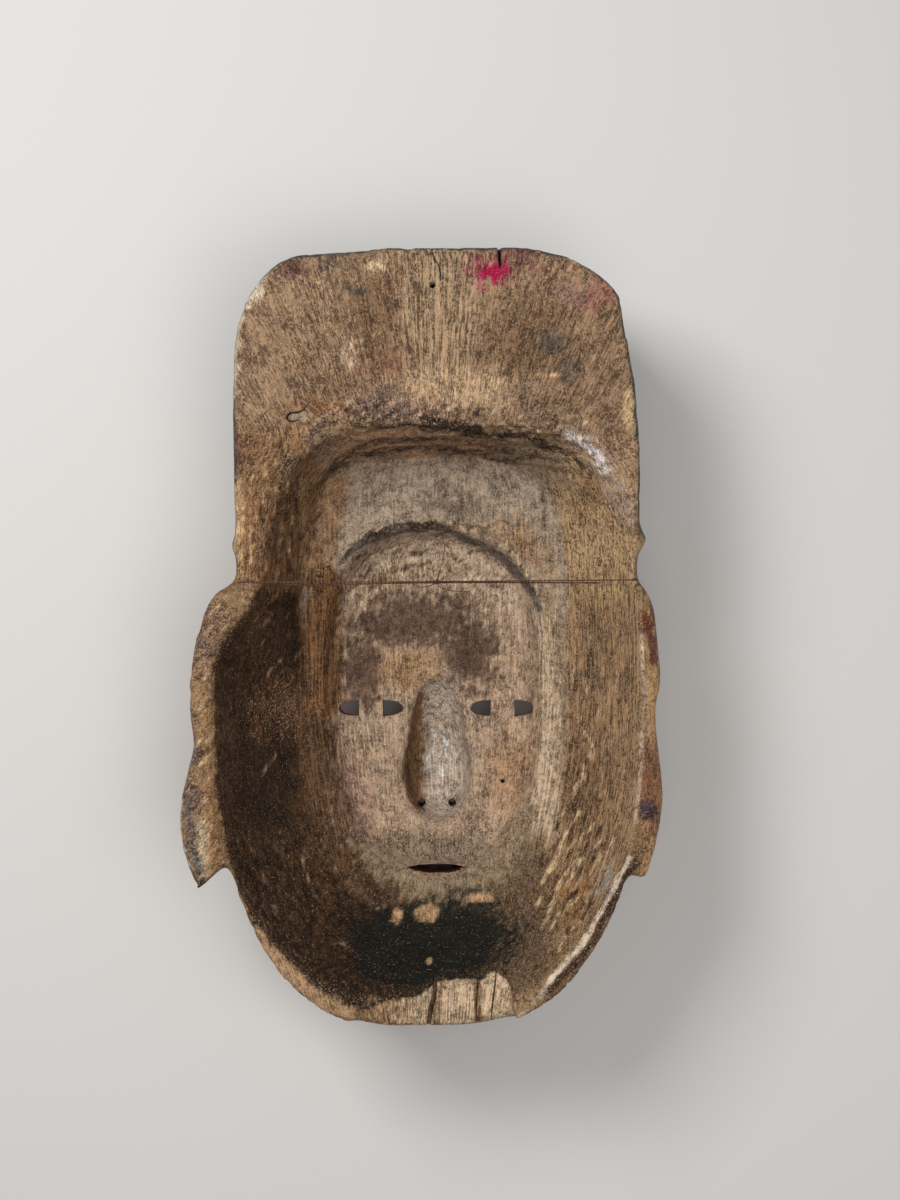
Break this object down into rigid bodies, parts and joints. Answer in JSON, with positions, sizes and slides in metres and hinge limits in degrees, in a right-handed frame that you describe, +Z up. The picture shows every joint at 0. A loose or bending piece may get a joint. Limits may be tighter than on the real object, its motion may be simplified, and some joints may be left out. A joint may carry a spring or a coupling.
{
  "type": "nuo mask",
  "caption": "Carved wooden nuo mask with a tall hat block and long ears, lying on its face with its hollow up and a thin cord tied across the hollow.",
  "frame": {"origin": "middle of the mask's underside, on the surface that it lies on", "axes": "+Z up, out of the hollow; +Y towards the top of the hat; +X to the right as the hollow is looked into"},
  "size_m": [0.223, 0.3594, 0.104],
  "materials": {
    "carved_wood": "old bare wood, worn and stained, with remains of lacquer on the front",
    "twine": "thin twisted brown cord"
  },
  "bodies": {
    "root": {"mask": "carved_wood", "tie_cord": "twine"}
  },
  "joints": []
}
